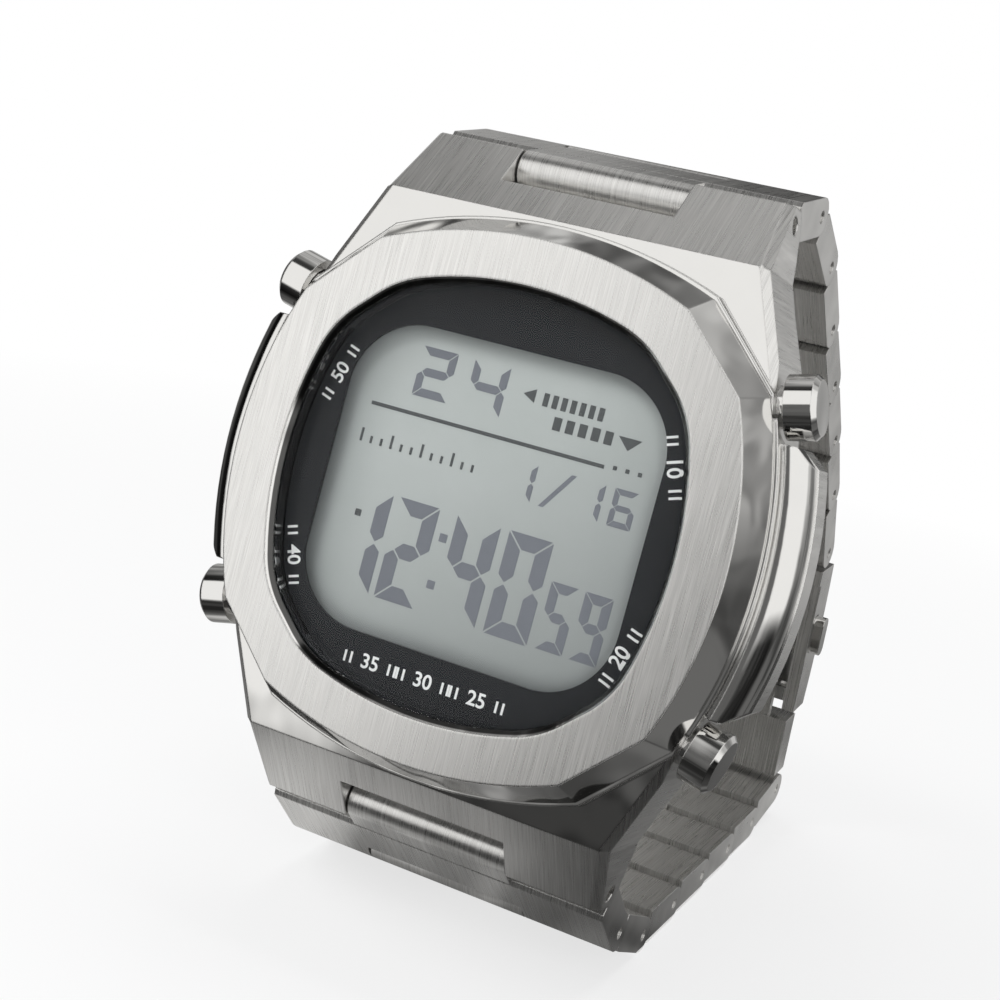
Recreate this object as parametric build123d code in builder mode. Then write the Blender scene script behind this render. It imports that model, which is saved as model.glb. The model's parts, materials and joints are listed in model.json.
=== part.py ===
from build123d import *
import os
from math import cos, radians, sin, sqrt

os.makedirs("parts", exist_ok=True)

# A digital wristwatch on a closed steel link bracelet, in millimetres.
# It stands on its lower strap with the dial facing -Y and leaning back. +X is 3 o'clock, +Z is up.

# Stance
lean_angle = 10

# Bezel: places of the corners between the side arcs and the top arcs, and how far the arcs bulge
bezel_side_x = 17.0
bezel_side_y = 11.8
bezel_top_x = 12.0
bezel_top_y = 16.7
bezel_bulge = 2.4
bezel_flare = 1.3
bezel_slope_height = 2.8
bezel_foot_height = 0.3
opening_side_x = 13.95
opening_side_y = 10.1
opening_top_x = 9.85
opening_top_y = 13.95
opening_bulge = 1.85
opening_bevel = 0.45
opening_rounding = 8.0
ledge_width = 0.55
ledge_height = 0.35
corner_share = 0.5

# Glass and what lies behind it
glass_recess = 0.45
glass_thickness = 1.6
glass_bevel = 0.2
glass_clearance = 0.05
mask_gap = 0.05
gasket_inset = 0.12
gasket_width = 0.33
gasket_height = 0.25
mask_thickness = 0.3
mask_side_wall = 3.1
mask_end_wall = 4.4
window_radius = 5.5

# Middle case: plan of its right side from the lug tip down to the pusher, then the guard
lug_tip_x = 14.55
lug_tip_y = 26.3
lug_tip_z = -8.77
ridge_x = 15.3
ridge_y = 21.05
ridge_z = -4.44
hip_x = 17.85
hip_y = 14.9
flank_x = 19.05
flank_y = 9.7
seat_rim = 0.25
seat_rim_depth = 1.9
shoulder_top_y = 7.65
lug_bevel = 0.6
underside_y = 18.5
lug_belly_y = 22.0
guard_end_step = 1.75
guard_corner_step = 1.3
guard_bulge = 1.1
guard_corner_y = 8.6
guard_top = 0.35
guard_belly_depth = 2.0
guard_belly_land = 0.25
guard_band_height = 2.6
guard_band_step = 0.12
guard_groove_width = 0.35
guard_groove_depth = 0.6
cavity_wall = 3.55
cavity_cut = 4.7

# Pushers: one in each corner, square to the flat between hip and flank
pusher_angle = 13.0
pusher_x = 18.5
pusher_y = 12.1
pusher_depth = 5.4
pusher_radius = 2.3
pusher_length = 2.3
pusher_rim_bevel = 0.35
pusher_gap = 0.6
pusher_side_gap = 0.15
pusher_travel = 0.5
collar_radius = 1.5
collar_height = 1.0
collar_clearance = 0.08
pusher_recess = 1.5
stem_radius = 0.8
stem_clearance = 0.06
stem_reach = 5.3
spring_bore_radius = 1.25
spring_bore_depth = 2.4
spring_wall = 0.22
spring_end_gap = 0.1
seal_thickness = 0.5
clip_radius = 1.5
clip_thickness = 0.3
clip_room = 2.0
clip_room_depth = 4.3
clip_groove = 0.2

# Module inside the case, as depths behind the bezel's top
module_clearance = 0.1
module_top = 3.2
lcd_side_wall = 2.3
lcd_end_wall = 3.5
lcd_thickness = 1.2
light_side_gap = 1.1
light_end_gap = 0.5
light_thickness = 0.4
strip_end_gap = 2.6
strip_width = 1.6
strip_height = 2.0
frame_proud = 0.1
board_wall = 1.4
board_cut = 4.8
board_thickness = 0.8
chip_width = 5.0
chip_height = 0.9
chip_inset_x = 5.0
chip_inset_y = 5.4
can_radius = 0.9
can_length = 6.0
can_inset_x = 4.5
can_inset_y = 5.8
cell_radius = 8.0
cell_thickness = 2.0
cell_inset = 3.0
cell_gap = 0.1
clip_plate_width = 5.0
clip_plate_thickness = 0.3
clip_plate_gap = 0.5
clip_plate_room = 1.15
alarm_radius = 9.0
alarm_thickness = 0.25

# Case back
back_overlap = 2.0
back_radius = 4.0
back_thickness = 1.2
back_edge_bevel = 0.4
back_lip_height = 0.5
back_lip_wall = 1.0
back_lip_clearance = 0.1
back_gasket_width = 0.6
back_gasket_height = 0.5
back_gasket_wall = 0.7
back_screw_inset = 0.3
back_screw_radius = 0.6
back_screw_head_radius = 1.05
back_screw_head_height = 0.5
back_screw_length = 2.6
back_slot_width = 0.25
back_slot_depth = 0.25

# Bracelet
strap_pin_y = 25.0
strap_pin_z = -9.9
lug_nose_radius = 1.72
link_pitch = 7.7
link_thickness = 3.0
link_gap = 0.12
link_bevel = 0.35
tongue_width = 13.7
tongue_side_gap = 0.12
upper_link_width = 28.9
link_taper = 0.28
pin_radius = 0.5
pin_clearance = 0.05
pin_recess = 0.15
bar_radius = 0.7
bar_recess = 0.4
# Headings of the links in degrees, away from straight back, outward is positive
upper_headings = [16, -20, -33, -32, -34, -38, -46]
lower_headings = [34, 12, -lean_angle, -lean_angle, -lean_angle, -12, -20]

# Clasp, from the last upper pin towards the last lower pin
cover_extra_width = 0.6
cover_length = 16.4
cover_outer = 2.5
cover_crown = 0.5
cover_inner = 1.45
cover_end_block = 1.5
cover_wall = 1.2
cover_wall_drop = 0.9
leaf_thickness = 0.9
middle_leaf_level = 0.55
inner_leaf_level = -0.8
middle_leaf_side_gap = 4.07
inner_leaf_side_gap = 1.07
knuckle_width = 6.5
leaf_gap = 0.1
hinge_b_inset = 2.1
hinge_b_knuckle = 0.8
hinge_c_place = 5.0
hinge_c_level = -0.1
hinge_c_knuckle = 0.95
hinge_pin_radius = 0.4
hinge_side_gap = 0.15
end_block_gap = 0.9
open_pivot_gap = 0.35
open_tongue_length = 0.6
button_length = 3.8
button_height = 1.7
button_place = 8.4
button_level = 0.3
button_proud = 1.0
button_travel = 0.6
button_clearance = 0.08
button_flange = 0.5
button_flange_height = 0.6

# Sides of the small round holes and rods, of middle-sized round ends and collars, and of flat discs
small_sides = 10
middle_sides = 16
disc_sides = 24

# One overrun serves all cuts
overrun = 1.0

# Derived sizes of the case
bezel_height = bezel_slope_height + bezel_foot_height
bezel_top_size = (bezel_side_x, bezel_side_y, bezel_top_x, bezel_top_y, bezel_bulge)
opening_size = (opening_side_x, opening_side_y, opening_top_x, opening_top_y, opening_bulge)
glass_inset = opening_bevel + glass_clearance
glass_back = glass_recess + glass_thickness
mask_back = glass_back + mask_gap + mask_thickness
window_width = 2 * (opening_side_x + opening_bulge - mask_side_wall)
window_height = 2 * (opening_top_y + opening_bulge - mask_end_wall)
guard_end_x = flank_x + guard_end_step
guard_corner_x = guard_end_x + guard_corner_step
guard_reach = guard_corner_x + guard_bulge
guard_belly_radius = guard_belly_depth - guard_belly_land
cavity_width = 2 * (flank_x - cavity_wall)
back_width = cavity_width + 2 * back_overlap
back_screw_place = cavity_width / 2 - back_screw_inset

# Depths of the module's layers behind the bezel's top, and of the case that they need
lcd_back = module_top + lcd_thickness
board_front = lcd_back + strip_height
board_back = board_front + board_thickness
cell_back = board_back + cell_gap + cell_thickness
frame_back = cell_back + clip_plate_thickness + frame_proud
frame_depth = frame_back - module_top
case_depth = cell_back + clip_plate_thickness + clip_plate_room + alarm_thickness

# Derived sizes of the strap
half_notch = tongue_width / 2 + tongue_side_gap
link_end_radius = link_thickness / 2
shoulder_reach = link_end_radius + link_gap
notch_y = strap_pin_y - shoulder_reach

# Pins of both straps in the dial's own y and z, from the headings


def strap_pins(headings):
    y, z = strap_pin_y, strap_pin_z
    pins = [(y, z)]
    for heading in headings:
        y += link_pitch * sin(radians(heading))
        z -= link_pitch * cos(radians(heading))
        pins.append((y, z))
    return pins


upper_pins = strap_pins(upper_headings)
lower_pins = [(-y, z) for y, z in strap_pins(lower_headings)]

# The dial plane stands over the origin so that the lower strap's flat run rests on Z = 0
# and the origin is in the middle of the footprint


def stance_y(y, z):
    return y * sin(radians(lean_angle)) - z * cos(radians(lean_angle))


def stance_z(y, z):
    return y * cos(radians(lean_angle)) + z * sin(radians(lean_angle))


floor_z = min(stance_z(y, z) for y, z in lower_pins) - link_end_radius
front_y = stance_y(-(bezel_top_y + bezel_bulge), 0)
clasp_run = Vector(lower_pins[-1][0] - upper_pins[-1][0], lower_pins[-1][1] - upper_pins[-1][1])
clasp_along = clasp_run.normalized()
clasp_out = Vector(-clasp_along.Y, clasp_along.X)


def clasp_point(along, out):
    point = Vector(*upper_pins[-1]) + clasp_along * along + clasp_out * out
    return point.X, point.Y


# The crown of the clasp cover is the rearmost form
crown_run = cover_length - shoulder_reach
crown_radius = (crown_run**2 / 4 + cover_crown**2) / (2 * cover_crown)
crown_centre = clasp_point(shoulder_reach + crown_run / 2, cover_outer + cover_crown - crown_radius)
rear_y = stance_y(*crown_centre) + crown_radius
dial = Plane(
    origin=(0, -(front_y + rear_y) / 2, -floor_z),
    x_dir=(1, 0, 0),
    z_dir=(0, -cos(radians(lean_angle)), sin(radians(lean_angle))),
)
# The side plane shows the dial's y to the right and its z upwards, seen from 3 o'clock
side = Plane(origin=dial.origin, x_dir=dial.y_dir, z_dir=(1, 0, 0))


def place(y, z):
    return dial.from_local_coords((0, y, z))


def rod(radius, mode=Mode.ADD):
    """Section of a small rod or of its tight hole, with its corners on the radius."""
    RegularPolygon(radius, small_sides, mode=mode)


def bore(radius, mode=Mode.ADD):
    """Section of a small free hole, with its flats on the radius."""
    RegularPolygon(radius, small_sides, major_radius=False, mode=mode)


def cut_square(width, cut, inset=0, mode=Mode.ADD):
    """A square with its corners cut off, drawn inside its own outline by the inset."""
    half = width / 2 - inset
    short = half - cut + inset * (2 - sqrt(2))
    right = [(half, -short), (half, short), (short, half)]
    left = [(-short, half), (-half, short), (-half, -short)]
    Polygon(*right, *left, (-short, -half), (short, -half), align=None, mode=mode)


def cushion(size, grow=0, rounding=0, straight=False):
    """A closed outline of four bulging arcs joined by corner cuts, which may be rounded off.

    The straight form, for hidden edges, has two lines in place of each arc.
    """
    side_x, side_y, top_x, top_y, bulge = size
    side_x += grow
    top_y += grow
    side_y += grow * corner_share
    top_x += grow * corner_share
    bends = [
        ((side_x, -side_y), (side_x + bulge, 0), (side_x, side_y)),
        ((top_x, top_y), (0, top_y + bulge), (-top_x, top_y)),
        ((-side_x, side_y), (-side_x - bulge, 0), (-side_x, -side_y)),
        ((-top_x, -top_y), (0, -top_y - bulge), (top_x, -top_y)),
    ]
    with BuildLine() as outline:
        for index, bend in enumerate(bends):
            if straight:
                Polyline(*bend)
            else:
                ThreePointArc(*bend)
            Line(bend[-1], bends[(index + 1) % len(bends)][0])
        if rounding:
            fillet(outline.vertices(), rounding + grow)
    return make_face(outline.edges())


def opening(grow=0):
    """Outline of the bezel's opening."""
    return cushion(opening_size, grow, opening_rounding)


def pusher_plane(side_x, side_y):
    """Plane on the case flat of one pusher, facing outward along its axis."""
    out = (side_x * cos(radians(pusher_angle)), side_y * sin(radians(pusher_angle)), 0)
    origin = dial.from_local_coords((side_x * pusher_x, side_y * pusher_y, -pusher_depth))
    tip = dial.from_local_coords(
        (side_x * pusher_x + out[0], side_y * pusher_y + out[1], -pusher_depth)
    )
    return Plane(origin=origin, x_dir=dial.z_dir, z_dir=tip - origin)


corners = [(1, 1), (1, -1), (-1, 1), (-1, -1)]
pusher_planes = [pusher_plane(*corner) for corner in corners]

# Bezel: bevelled ring, its foot, and an opening with a ledge for the glass
with BuildPart() as bezel:
    with BuildSketch(dial):
        cushion(bezel_top_size)
    with BuildSketch(dial.offset(-bezel_slope_height)):
        cushion(bezel_top_size, bezel_flare)
    loft(ruled=True)
    with BuildSketch(dial.offset(-bezel_height)):
        cushion(bezel_top_size, bezel_flare)
    extrude(amount=bezel_foot_height)
    with BuildSketch(dial.offset(-bezel_height)):
        cushion(opening_size, -opening_bevel - ledge_width, straight=True)
    extrude(amount=bezel_height, mode=Mode.SUBTRACT)
    with BuildSketch(dial.offset(ledge_height - bezel_height)):
        opening(-opening_bevel)
    extrude(amount=bezel_height, mode=Mode.SUBTRACT)
    with BuildSketch(dial):
        opening()
    with BuildSketch(dial.offset(-opening_bevel)):
        opening(-opening_bevel)
    loft(ruled=True, mode=Mode.SUBTRACT)
bezel.part.label = "bezel"
export_step(bezel.part, "parts/bezel.step")

# Crystal: flat glass with a fine bevel
with BuildPart() as crystal:
    with BuildSketch(dial.offset(-glass_back)):
        opening(-glass_inset)
    extrude(amount=glass_thickness)
    chamfer(crystal.faces().sort_by(Axis(dial.origin, dial.z_dir))[-1].edges(), glass_bevel)
crystal.part.label = "crystal"
export_step(crystal.part, "parts/crystal.step")

# Dial mask: black panel under the glass with the display window
with BuildPart() as dial_mask:
    with BuildSketch(dial.offset(-mask_back)):
        opening(-glass_inset)
        RectangleRounded(window_width, window_height, window_radius, mode=Mode.SUBTRACT)
    extrude(amount=mask_thickness)
dial_mask.part.label = "dial_mask"
export_step(dial_mask.part, "parts/dial_mask.step")

# Crystal gasket: flat ring between the mask and the bezel's ledge
gasket_back = bezel_height - ledge_height
with BuildPart() as crystal_gasket:
    with BuildSketch(dial.offset(-gasket_back)):
        cushion(opening_size, -glass_inset - gasket_inset, straight=True)
        with BuildSketch(mode=Mode.PRIVATE) as gasket_hole:
            cushion(opening_size, -glass_inset - gasket_inset - gasket_width, straight=True)
        add(gasket_hole.sketch, mode=Mode.SUBTRACT)
    extrude(amount=gasket_back - mask_back)
crystal_gasket.part.label = "crystal_gasket"
export_step(crystal_gasket.part, "parts/crystal_gasket.step")

# Guard: bulging bar on the 3 o'clock side, with a flat band under a polished belly
with BuildPart() as guard:
    with BuildSketch(dial.offset(-bezel_height - guard_top - guard_belly_depth)):
        with BuildLine():
            Polyline(
                (guard_corner_x, guard_corner_y),
                (guard_end_x, flank_y),
                (ridge_x, flank_y),
                (ridge_x, -flank_y),
                (guard_end_x, -flank_y),
                (guard_corner_x, -guard_corner_y),
            )
            ThreePointArc(
                (guard_corner_x, -guard_corner_y), (guard_reach, 0), (guard_corner_x, guard_corner_y)
            )
        make_face()
    extrude(amount=guard_belly_depth)
    guard_rim = guard.faces().sort_by(Axis(dial.origin, dial.z_dir))[-1].edges()
    fillet(guard_rim.filter_by(GeomType.CIRCLE), guard_belly_radius)
    with BuildSketch(
        dial.offset(-bezel_height - guard_top - guard_belly_depth - guard_band_height)
    ):
        with BuildLine():
            Polyline(
                (guard_corner_x + guard_band_step, guard_corner_y),
                (guard_end_x, flank_y),
                (ridge_x, flank_y),
                (ridge_x, -flank_y),
                (guard_end_x, -flank_y),
                (guard_corner_x + guard_band_step, -guard_corner_y),
            )
            ThreePointArc(
                (guard_corner_x + guard_band_step, -guard_corner_y),
                (guard_reach + guard_band_step, 0),
                (guard_corner_x + guard_band_step, guard_corner_y),
            )
        make_face()
    extrude(amount=guard_band_height)

# Middle case: plan outline cut to the side profile, then the guards, the rim under the bezel,
# the module cavity, the bracelet notches and all bores
plan_points = [
    (lug_tip_x, lug_tip_y),
    (ridge_x, ridge_y),
    (hip_x, hip_y),
    (flank_x, flank_y),
]
plan_right = plan_points + [(x, -y) for x, y in reversed(plan_points)]
plan_all = plan_right + [(-x, y) for x, y in reversed(plan_right)]
nose_bottom_z = strap_pin_z - lug_nose_radius
nose_angle = radians(-25)


def half_profile(sign):
    """Side profile of one half of the case, from the middle over the lug and back underneath."""
    top_middle = (0, -bezel_height)
    shoulder_top = (sign * shoulder_top_y, -bezel_height)
    ridge = (sign * ridge_y, ridge_z)
    tip = (sign * lug_tip_y, lug_tip_z)
    nose = (
        sign * (strap_pin_y + lug_nose_radius * cos(nose_angle)),
        strap_pin_z + lug_nose_radius * sin(nose_angle),
    )
    nose_end = (sign * strap_pin_y, nose_bottom_z)
    belly = (sign * lug_belly_y, nose_bottom_z)
    under = (sign * underside_y, -case_depth)
    with BuildLine() as outline:
        Polyline(top_middle, shoulder_top, ridge, tip)
        ThreePointArc(tip, nose, nose_end)
        Polyline(nose_end, belly, under, (0, -case_depth), top_middle)
    return make_face(outline.edges())


with BuildPart() as middle_case:
    with BuildSketch(dial.offset(nose_bottom_z - overrun)):
        Polygon(*plan_all, align=None)
    extrude(amount=case_depth + overrun)
    with BuildSketch(side):
        half_profile(1)
        half_profile(-1)
    extrude(amount=guard_reach, both=True, mode=Mode.INTERSECT)
    lug_edges = []
    for edge in middle_case.edges():
        middle = dial.to_local_coords(edge.center())
        on_side = abs(middle.X) > (lug_tip_x + hip_x) / 2 - (hip_x - ridge_x)
        on_top = middle.Z > (lug_tip_z + ridge_z) / 2 - ledge_height
        if on_side and on_top and hip_y < abs(middle.Y) < lug_tip_y - lug_bevel:
            lug_edges.append(edge)
    chamfer(lug_edges, lug_bevel)
    with BuildSketch(dial.offset(-bezel_height - seat_rim_depth)):
        cushion(bezel_top_size, bezel_flare + seat_rim)
    extrude(amount=seat_rim_depth)
    add(guard.part)
    add(guard.part.mirror(Plane.YZ))
    with BuildSketch(dial.offset(-bezel_height - guard_top - guard_groove_depth)):
        cushion(bezel_top_size, bezel_flare + seat_rim + guard_groove_width)
        with BuildSketch(mode=Mode.PRIVATE) as groove_inside:
            cushion(bezel_top_size, bezel_flare + seat_rim)
        add(groove_inside.sketch, mode=Mode.SUBTRACT)
        Rectangle(2 * guard_reach, 2 * flank_y, mode=Mode.INTERSECT)
    extrude(amount=guard_groove_depth + guard_top, mode=Mode.SUBTRACT)
    with BuildSketch(*pusher_planes):
        RegularPolygon(pusher_radius + pusher_side_gap, middle_sides, major_radius=False)
    extrude(amount=pusher_gap + pusher_length, mode=Mode.SUBTRACT)
    with BuildSketch(dial.offset(-case_depth)):
        cut_square(cavity_width, cavity_cut)
    extrude(amount=case_depth, mode=Mode.SUBTRACT)
    with BuildSketch(dial.offset(nose_bottom_z - overrun)):
        for sign in (1, -1):
            with Locations((0, sign * lug_tip_y)):
                Rectangle(2 * half_notch, 2 * (lug_tip_y - notch_y))
    extrude(amount=case_depth + overrun, mode=Mode.SUBTRACT)
    with BuildSketch(side):
        with Locations((strap_pin_y, strap_pin_z), (-strap_pin_y, strap_pin_z)):
            rod(bar_radius)
    extrude(amount=guard_reach, both=True, mode=Mode.SUBTRACT)
    with BuildSketch(dial.offset(-case_depth)):
        cut_square(cavity_width, cavity_cut, -back_gasket_wall - back_gasket_width)
        cut_square(cavity_width, cavity_cut, -back_gasket_wall, Mode.SUBTRACT)
    extrude(amount=back_gasket_height, mode=Mode.SUBTRACT)
    with BuildSketch(dial.offset(-case_depth)):
        with GridLocations(2 * back_screw_place, 2 * back_screw_place, 2, 2):
            rod(back_screw_radius)
    extrude(amount=back_screw_length - back_thickness, mode=Mode.SUBTRACT)
    with BuildSketch(*pusher_planes):
        RegularPolygon(collar_radius, middle_sides)
    extrude(amount=collar_height)
    with BuildSketch(*pusher_planes):
        bore(stem_radius + stem_clearance)
    extrude(amount=-stem_reach, mode=Mode.SUBTRACT)
    with BuildSketch(*[plane.offset(-spring_bore_depth) for plane in pusher_planes]):
        rod(spring_bore_radius)
    extrude(amount=spring_bore_depth + collar_height, mode=Mode.SUBTRACT)
    with BuildSketch(*[plane.offset(-clip_room_depth) for plane in pusher_planes]):
        bore(clip_room)
    extrude(amount=-clip_room, mode=Mode.SUBTRACT)
middle_case.part.label = "middle_case"
export_step(middle_case.part, "parts/middle_case.step")

# Spring bars: one across each lug notch
bar_half = lug_tip_x - bar_recess
with BuildPart() as spring_bars:
    with BuildSketch(side):
        with Locations((strap_pin_y, strap_pin_z), (-strap_pin_y, strap_pin_z)):
            rod(bar_radius)
    extrude(amount=bar_half, both=True)
spring_bars.part.label = "spring_bars"
export_step(spring_bars.part, "parts/spring_bars.step")

# Pushers: head with a recess that slides over the collar, and a stem with a grooved end
pusher_names = ["upper_right", "lower_right", "upper_left", "lower_left"]
pusher_floor = pusher_gap + pusher_recess
for name, plane in zip(pusher_names, pusher_planes):
    with BuildPart() as pusher:
        with BuildSketch(plane.offset(pusher_gap)):
            Circle(pusher_radius)
        extrude(amount=pusher_length)
        chamfer(pusher.faces().sort_by(Axis(plane.origin, plane.z_dir))[-1].edges(), pusher_rim_bevel)
        with BuildSketch(plane.offset(pusher_gap)):
            RegularPolygon(collar_radius + collar_clearance, middle_sides, major_radius=False)
        extrude(amount=pusher_recess, mode=Mode.SUBTRACT)
        with BuildSketch(plane.offset(pusher_floor)):
            rod(stem_radius)
        extrude(amount=-pusher_floor - stem_reach)
        with BuildSketch(plane.offset(-clip_room_depth)):
            rod(clip_radius)
            rod(stem_radius - clip_groove, Mode.SUBTRACT)
        extrude(amount=-clip_thickness, mode=Mode.SUBTRACT)
        with BuildSketch(plane.offset(-clip_room_depth)):
            rod(clip_radius)
            rod(stem_radius - clip_groove, Mode.SUBTRACT)
            with Locations((clip_radius, 0)):
                Rectangle(2 * clip_radius, 2 * clip_groove, mode=Mode.SUBTRACT)
        retainer = extrude(amount=-clip_thickness, mode=Mode.PRIVATE)
    pusher_group = Compound(children=[pusher.part, retainer])
    pusher_group.label = "pusher_" + name
    export_step(pusher_group, "parts/pusher_" + name + ".step")

# Pusher seals: a ring at the bottom of each spring bore
with BuildPart() as pusher_seals:
    with BuildSketch(*[plane.offset(-spring_bore_depth) for plane in pusher_planes]):
        rod(spring_bore_radius)
        bore(stem_radius + stem_clearance, Mode.SUBTRACT)
    extrude(amount=seal_thickness)
pusher_seals.part.label = "pusher_seals"
export_step(pusher_seals.part, "parts/pusher_seals.step")

# Pusher springs: the space that each hidden coil keeps when its pusher is pressed home
spring_length = spring_bore_depth - seal_thickness + pusher_floor - pusher_travel - spring_end_gap
with BuildPart() as pusher_springs:
    with BuildSketch(*[plane.offset(seal_thickness - spring_bore_depth) for plane in pusher_planes]):
        rod(spring_bore_radius - stem_clearance)
        rod(spring_bore_radius - stem_clearance - spring_wall, Mode.SUBTRACT)
    extrude(amount=spring_length)
pusher_springs.part.label = "pusher_springs"
export_step(pusher_springs.part, "parts/pusher_springs.step")

# Sizes of the module, from the cavity inwards
module_width = cavity_width - 2 * module_clearance
lcd_width = module_width - 2 * lcd_side_wall
lcd_height = module_width - 2 * lcd_end_wall
light_width = lcd_width - 2 * light_side_gap
light_height = lcd_height - 2 * (strip_width + light_end_gap)
strip_length = lcd_width - 2 * strip_end_gap
strip_y = (lcd_height - strip_width) / 2
board_half = module_width / 2 - board_wall

# LCD panel
with BuildPart() as lcd_panel:
    with BuildSketch(dial.offset(-lcd_back)):
        Rectangle(lcd_width, lcd_height)
    extrude(amount=lcd_thickness)
lcd_panel.part.label = "lcd_panel"
export_step(lcd_panel.part, "parts/lcd_panel.step")

# Light panel behind the display
with BuildPart() as light_panel:
    with BuildSketch(dial.offset(-lcd_back - light_thickness)):
        Rectangle(light_width, light_height)
    extrude(amount=light_thickness)
light_panel.part.label = "light_panel"
export_step(light_panel.part, "parts/light_panel.step")

# Connector strips between the display and the board, above and below the light panel
with BuildPart() as connector_strips:
    with BuildSketch(dial.offset(-board_front)):
        with GridLocations(strip_length, 2 * strip_y, 1, 2):
            Rectangle(strip_length, strip_width)
    extrude(amount=strip_height)
connector_strips.part.label = "connector_strips"
export_step(connector_strips.part, "parts/connector_strips.step")

# Module frame: pocket for the display in front, slots for the strips, pocket for the board behind
with BuildPart() as module_frame:
    with BuildSketch(dial.offset(-module_top - frame_depth)):
        cut_square(cavity_width, cavity_cut, module_clearance)
    extrude(amount=frame_depth)
    with BuildSketch(dial.offset(-lcd_back - light_thickness)):
        Rectangle(lcd_width, lcd_height)
    extrude(amount=lcd_thickness + light_thickness, mode=Mode.SUBTRACT)
    with BuildSketch(dial.offset(-board_front)):
        with GridLocations(strip_length, 2 * strip_y, 1, 2):
            Rectangle(strip_length, strip_width)
    extrude(amount=strip_height, mode=Mode.SUBTRACT)
    with BuildSketch(dial.offset(-module_top - frame_depth)):
        cut_square(2 * board_half, board_cut)
    extrude(amount=module_top + frame_depth - board_front, mode=Mode.SUBTRACT)
    with BuildSketch(*pusher_planes):
        bore(clip_room)
    extrude(amount=-clip_room_depth - clip_room, mode=Mode.SUBTRACT)
module_frame.part.label = "module_frame"
export_step(module_frame.part, "parts/module_frame.step")

# Circuit board
with BuildPart() as circuit_board:
    with BuildSketch(dial.offset(-board_back)):
        cut_square(2 * board_half, board_cut)
    extrude(amount=board_thickness)
circuit_board.part.label = "circuit_board"
export_step(circuit_board.part, "parts/circuit_board.step")

# Clock chip under its moulded cap
with BuildPart() as clock_chip:
    with BuildSketch(dial.offset(-board_back - chip_height)):
        with Locations((chip_inset_x - board_half, board_half - chip_inset_y)):
            Rectangle(chip_width, chip_width)
    extrude(amount=chip_height)
clock_chip.part.label = "clock_chip"
export_step(clock_chip.part, "parts/clock_chip.step")

# Quartz can lying on the board
can_place = (board_half - can_inset_x, board_half - can_inset_y, -board_back - can_radius)
can_plane = Plane(origin=dial.from_local_coords(can_place), z_dir=dial.y_dir)
with BuildPart() as quartz_can:
    with BuildSketch(can_plane.offset(-can_length / 2)):
        rod(can_radius)
    extrude(amount=can_length)
quartz_can.part.label = "quartz_can"
export_step(quartz_can.part, "parts/quartz_can.step")

# Coin cell
cell_y = cell_radius + cell_inset - board_half
with BuildPart() as battery:
    with BuildSketch(dial.offset(-cell_back)):
        with Locations((0, cell_y)):
            RegularPolygon(cell_radius, disc_sides)
    extrude(amount=cell_thickness)
battery.part.label = "battery"
export_step(battery.part, "parts/battery.step")

# Battery clip: a strap over the cell with a leg down to the board on each side
clip_half = cell_radius + clip_plate_gap
with BuildPart() as battery_clip:
    with BuildSketch(dial.offset(-cell_back - clip_plate_thickness)):
        with Locations((0, cell_y)):
            Rectangle(2 * clip_half + 2 * clip_plate_thickness, clip_plate_width)
    extrude(amount=clip_plate_thickness)
    with BuildSketch(dial.offset(-cell_back)):
        with Locations((0, cell_y)):
            with GridLocations(2 * clip_half + clip_plate_thickness, clip_plate_width, 2, 1):
                Rectangle(clip_plate_thickness, clip_plate_width)
    extrude(amount=cell_back - board_back)
battery_clip.part.label = "battery_clip"
export_step(battery_clip.part, "parts/battery_clip.step")

# Case back with the lip that centres it in the cavity
with BuildPart() as case_back:
    with BuildSketch(dial.offset(-case_depth - back_thickness)):
        RectangleRounded(back_width, back_width, back_radius)
    extrude(amount=back_thickness)
    chamfer(case_back.faces().sort_by(Axis(dial.origin, dial.z_dir))[0].edges(), back_edge_bevel)
    with BuildSketch(dial.offset(-case_depth)):
        cut_square(cavity_width, cavity_cut, back_lip_clearance)
        cut_square(cavity_width, cavity_cut, back_lip_clearance + back_lip_wall, Mode.SUBTRACT)
    extrude(amount=back_lip_height)
    with BuildSketch(dial.offset(-case_depth - back_thickness)):
        with GridLocations(2 * back_screw_place, 2 * back_screw_place, 2, 2):
            rod(back_screw_radius)
    extrude(amount=back_thickness, mode=Mode.SUBTRACT)
    with BuildSketch(dial.offset(-case_depth - back_thickness)):
        with GridLocations(2 * back_screw_place, 2 * back_screw_place, 2, 2):
            RegularPolygon(back_screw_head_radius, middle_sides)
    extrude(amount=back_screw_head_height, mode=Mode.SUBTRACT)
case_back.part.label = "case_back"
export_step(case_back.part, "parts/case_back.step")

# Case back gasket in its groove
with BuildPart() as case_back_gasket:
    with BuildSketch(dial.offset(-case_depth)):
        cut_square(cavity_width, cavity_cut, -back_gasket_wall - back_gasket_width)
        cut_square(cavity_width, cavity_cut, -back_gasket_wall, Mode.SUBTRACT)
    extrude(amount=back_gasket_height)
case_back_gasket.part.label = "case_back_gasket"
export_step(case_back_gasket.part, "parts/case_back_gasket.step")

# Case back screws: slotted heads flush with the back
with BuildPart() as case_back_screws:
    with BuildSketch(dial.offset(-case_depth - back_thickness)):
        with GridLocations(2 * back_screw_place, 2 * back_screw_place, 2, 2):
            RegularPolygon(back_screw_head_radius, middle_sides)
    extrude(amount=back_screw_head_height)
    with BuildSketch(dial.offset(-case_depth - back_thickness)):
        with GridLocations(2 * back_screw_place, 2 * back_screw_place, 2, 2):
            rod(back_screw_radius)
    extrude(amount=back_screw_length)
    with BuildSketch(dial.offset(-case_depth - back_thickness)):
        with GridLocations(2 * back_screw_place, 2 * back_screw_place, 2, 2):
            Rectangle(2 * back_screw_head_radius, back_slot_width)
    extrude(amount=back_slot_depth, mode=Mode.SUBTRACT)
case_back_screws.part.label = "case_back_screws"
export_step(case_back_screws.part, "parts/case_back_screws.step")

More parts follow.
